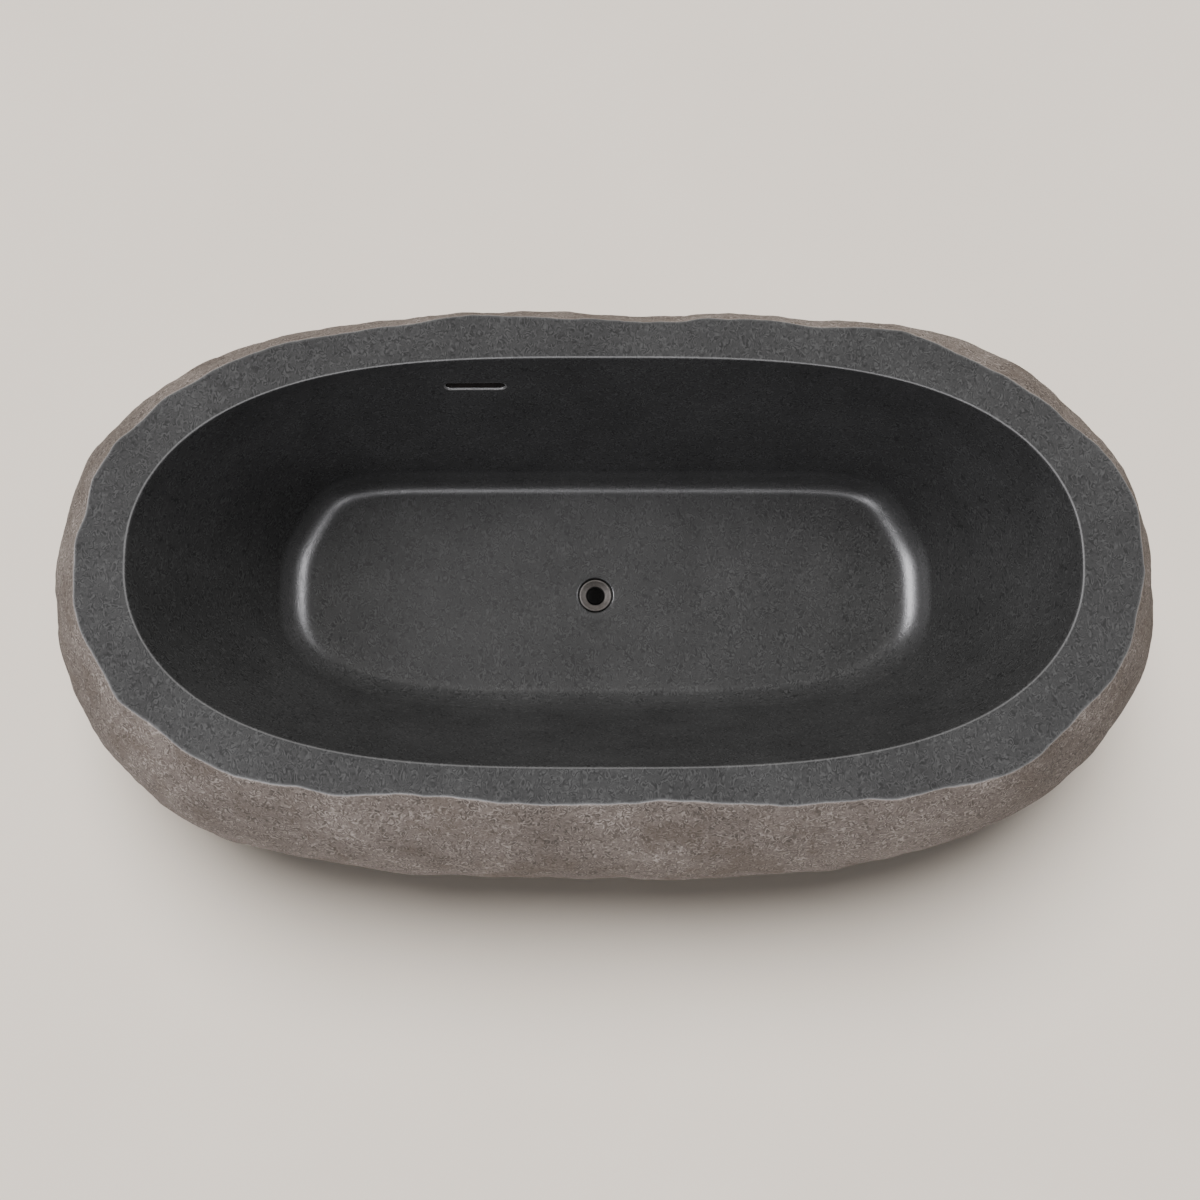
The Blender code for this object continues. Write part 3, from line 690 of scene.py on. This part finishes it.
for name, radius, low, high, operation in (
        ("hub", HUB_R, HUB_LOW, HUB_HIGH, "UNION"),
        ("hub_hole", STUD_HOLE_R, STUD_HOLE_LOW, STUD_HOLE_HIGH, "DIFFERENCE")):
    hub = bmesh.new()
    bmesh.ops.create_cone(hub, cap_ends=True, segments=40, radius1=radius, radius2=radius,
                          depth=high - low,
                          matrix=Matrix.Translation((*WASTE_AT.xy, (low + high) / 2)))
    bars.append((cutter_object(name, hub), operation))
for bar, operation in bars:
    join = flange_piece.modifiers.new(bar.name, "BOOLEAN")
    join.object, join.operation, join.solver = bar, operation, "EXACT"
joined = bpy.data.meshes.new_from_object(
    flange_piece.evaluated_get(bpy.context.evaluated_depsgraph_get()))
flange_piece.modifiers.clear()
flange_piece.data = joined
joined.set_sharp_from_angle(angle=CREASE_ANGLE)
for bar, operation in bars:
    bpy.data.objects.remove(bar, do_unlink=True)
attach(flange_piece, "tub")
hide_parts("waste_flange")


# ---------------------------------------------------------------- the stopper
# A push-to-open stopper set down in the sleeve: a domed cap in blackened bronze over a rubber
# seal, on a brass stem that slides in the cartridge. The cap's colour is darkened almost to black
# as painted shade of the bore.

tree, shader, coords = new_finish("blackened_bronze_painted_shade")
tarnish = speckle(tree, coords, 260, 3.0, 0.6, 0.4)
# The cap's near-black colour is painted shade of the bore.
set_tones(tree, shader, tarnish, 0.35, (0.0010, 0.0009, 0.0008), 0.65, (0.0024, 0.0022, 0.0020))
set_roughness(tree, shader, 0.42, 0.2, tarnish)
shader.inputs["Specular IOR Level"].default_value = 0.04
CAP_R, CAP_UNDER_Z = 0.0170, 0.1149
dome = ((0, 0.1186), (0.0045, 0.11857), (0.0090, 0.1184), (0.0125, 0.1181),
        (0.0148, 0.1176), (0.0162, 0.1170), (0.0168, 0.1165), (CAP_R, 0.1160))
cap_under = ((CAP_R, 0.1151), (0.0168, CAP_UNDER_Z), (0, CAP_UNDER_Z))
cap = turned_shape(dome + cap_under, 72)
cap_piece = new_piece("stopper_cap_visual", cap, "blackened_bronze_painted_shade")
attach(cap_piece, "stopper")
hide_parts("stopper_cap")


# ---------------------------------------------------------------- fittings under the floor
# The parts that the basin hides: brass castings and turned parts, black rubber seals and hose,
# and stainless clamps with their screws.

tree, shader, coords = new_finish("plain_brass")
tarnish = speckle(tree, coords, 70, 4.0, 0.6, 0.5)
set_tones(tree, shader, tarnish, 0.3, (0.36, 0.235, 0.085), 0.7, (0.60, 0.43, 0.18))
set_roughness(tree, shader, 0.28, 0.22, tarnish)
shader.inputs["Metallic"].default_value = 1.0
set_bump(tree, shader, 0.2, 0.0003, speckle(tree, coords, 700, 2.0, 0.6))

tree, shader, coords = new_finish("black_rubber")
bloom = speckle(tree, coords, 120, 3.0, 0.6)
set_tones(tree, shader, bloom, 0.3, (0.012, 0.012, 0.013), 0.7, (0.028, 0.028, 0.029))
set_roughness(tree, shader, 0.58, 0.2, bloom)
set_bump(tree, shader, 0.2, 0.0002, speckle(tree, coords, 1200, 1.0))

tree, shader, coords = new_finish("stainless_steel")
brushing = speckle(tree, stretched(tree, coords, (0, 0, 0), (1.0, 1.0, 14.0)), 500, 3.0, 0.6)
set_tones(tree, shader, brushing, 0.3, (0.47, 0.47, 0.46), 0.7, (0.62, 0.62, 0.61))
set_roughness(tree, shader, 0.22, 0.2, brushing)
shader.inputs["Metallic"].default_value = 1.0

for finish, names in (
        ("plain_brass", ("waste_body", "tail_nut", "tail_pipe", "stopper_stem",
                         "stopper_cartridge", "cartridge_nut", "overflow_elbow")),
        ("black_rubber", ("flange_seal", "body_seal", "tail_seal", "stopper_seal", "elbow_seal",
                          "overflow_hose")),
        ("stainless_steel", ("stopper_spring", "hose_clamp_waste", "hose_clamp_elbow",
                             "clamp_screw_waste", "clamp_screw_elbow"))):
    for name in names:
        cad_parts[name].material_slots[0].material = bpy.data.materials[finish]


# ---------------------------------------------------------------- studio
# A plain pale floor under one broad, soft light from above and a little behind, a ring of panels
# round the tub, and the camera high above its front.

FLOOR_HALF = 20.0
AIR_COLOUR, AIR_STRENGTH = (1.0, 0.99, 0.98), 0.17
OVERHEAD_STRENGTH, OVERHEAD_SPREAD = 5.75, math.radians(38)
OVERHEAD_POINTS_TO = Vector((0.09, -0.45, -1.0))
PANEL_COLOUR = (0.97, 0.96, 1.0)
# Name, bearing and rise in degrees, distance, width and height in metres, and power.
PANELS = (
    ("left_panel", 172, 38, 6.5, 3.2, 2.6, 1050),
    ("left_front_panel", 238, 40, 6.5, 2.2, 1.8, 280),
    ("front_panel", 270, 34, 6.5, 6.0, 3.2, 380),
    ("right_front_panel", 308, 42, 6.5, 3.0, 1.2, 120),
    ("right_panel", 4, 42, 6.5, 3.4, 1.4, 460),
    ("right_back_panel", 44, 38, 6.5, 2.0, 0.9, 80),
    ("front_fill", 248, 42, 6.0, 4.5, 2.5, 265),
)
CAMERA_AT, CAMERA_LOOKS_AT = Vector((-0.005, -0.434, 3.338)), Vector((-0.005, -0.045, 0.57))

floor_shape = bmesh.new()
bmesh.ops.create_grid(floor_shape, x_segments=1, y_segments=1, size=FLOOR_HALF)
floor_mesh = bpy.data.meshes.new("studio_floor")
floor_shape.to_mesh(floor_mesh)
floor_shape.free()
studio_floor = bpy.data.objects.new("studio_floor", floor_mesh)
bpy.context.scene.collection.objects.link(studio_floor)
tree, shader, coords = new_finish("pale_floor")
set_tones(tree, shader, speckle(tree, coords, 1.6, 4.0, 0.55),
          0.3, (0.76, 0.685, 0.600), 0.7, (0.79, 0.715, 0.630))
shader.inputs["Roughness"].default_value = 0.9
shader.inputs["Specular IOR Level"].default_value = 0.2
floor_mesh.materials.append(bpy.data.materials["pale_floor"])

world = bpy.data.worlds.new("studio_air")
bpy.context.scene.world = world
world.use_nodes = True
world.node_tree.nodes["Background"].inputs["Color"].default_value = (*AIR_COLOUR, 1)
world.node_tree.nodes["Background"].inputs["Strength"].default_value = AIR_STRENGTH

sky = bpy.data.lights.new("overhead_sky", "SUN")
sky.energy, sky.angle, sky.color = OVERHEAD_STRENGTH, OVERHEAD_SPREAD, AIR_COLOUR
overhead = bpy.data.objects.new("overhead_sky", sky)
overhead.visible_glossy = False
overhead.rotation_euler = OVERHEAD_POINTS_TO.to_track_quat("-Z", "Y").to_euler()
bpy.context.scene.collection.objects.link(overhead)

# The panels only make the sheen on the honed stone. The front fill lifts the back wall of the
# basin and is flagged off the floor.
lit_stone = bpy.data.collections.new("front_fill_reaches")
lit_stone.objects.link(stone_tub)
BASIN_MIDDLE = Vector((0, 0.03, 0.15))
for name, bearing, rise, away, width, tall, power in PANELS:
    light = bpy.data.lights.new(name, "AREA")
    light.shape = "RECTANGLE"
    light.size, light.size_y, light.energy = width, tall, power
    light.color = PANEL_COLOUR
    panel = bpy.data.objects.new(name, light)
    turn, lift = math.radians(bearing), math.radians(rise)
    towards = Vector((math.cos(turn) * math.cos(lift), math.sin(turn) * math.cos(lift),
                      math.sin(lift)))
    panel.location = BASIN_MIDDLE + towards * away
    panel.rotation_euler = (-towards).to_track_quat("-Z", "Y").to_euler()
    panel.visible_camera = False
    if name == "front_fill":
        panel.visible_glossy = False
        panel.light_linking.receiver_collection = lit_stone
    else:
        panel.visible_diffuse = False
    bpy.context.scene.collection.objects.link(panel)

camera_data = bpy.data.cameras.new("camera")
camera_data.lens = 50
camera_data.clip_end = 100
camera = bpy.data.objects.new("camera", camera_data)
camera.location = CAMERA_AT
camera.rotation_euler = (CAMERA_LOOKS_AT - CAMERA_AT).to_track_quat("-Z", "Y").to_euler()
bpy.context.scene.collection.objects.link(camera)
bpy.context.scene.camera = camera
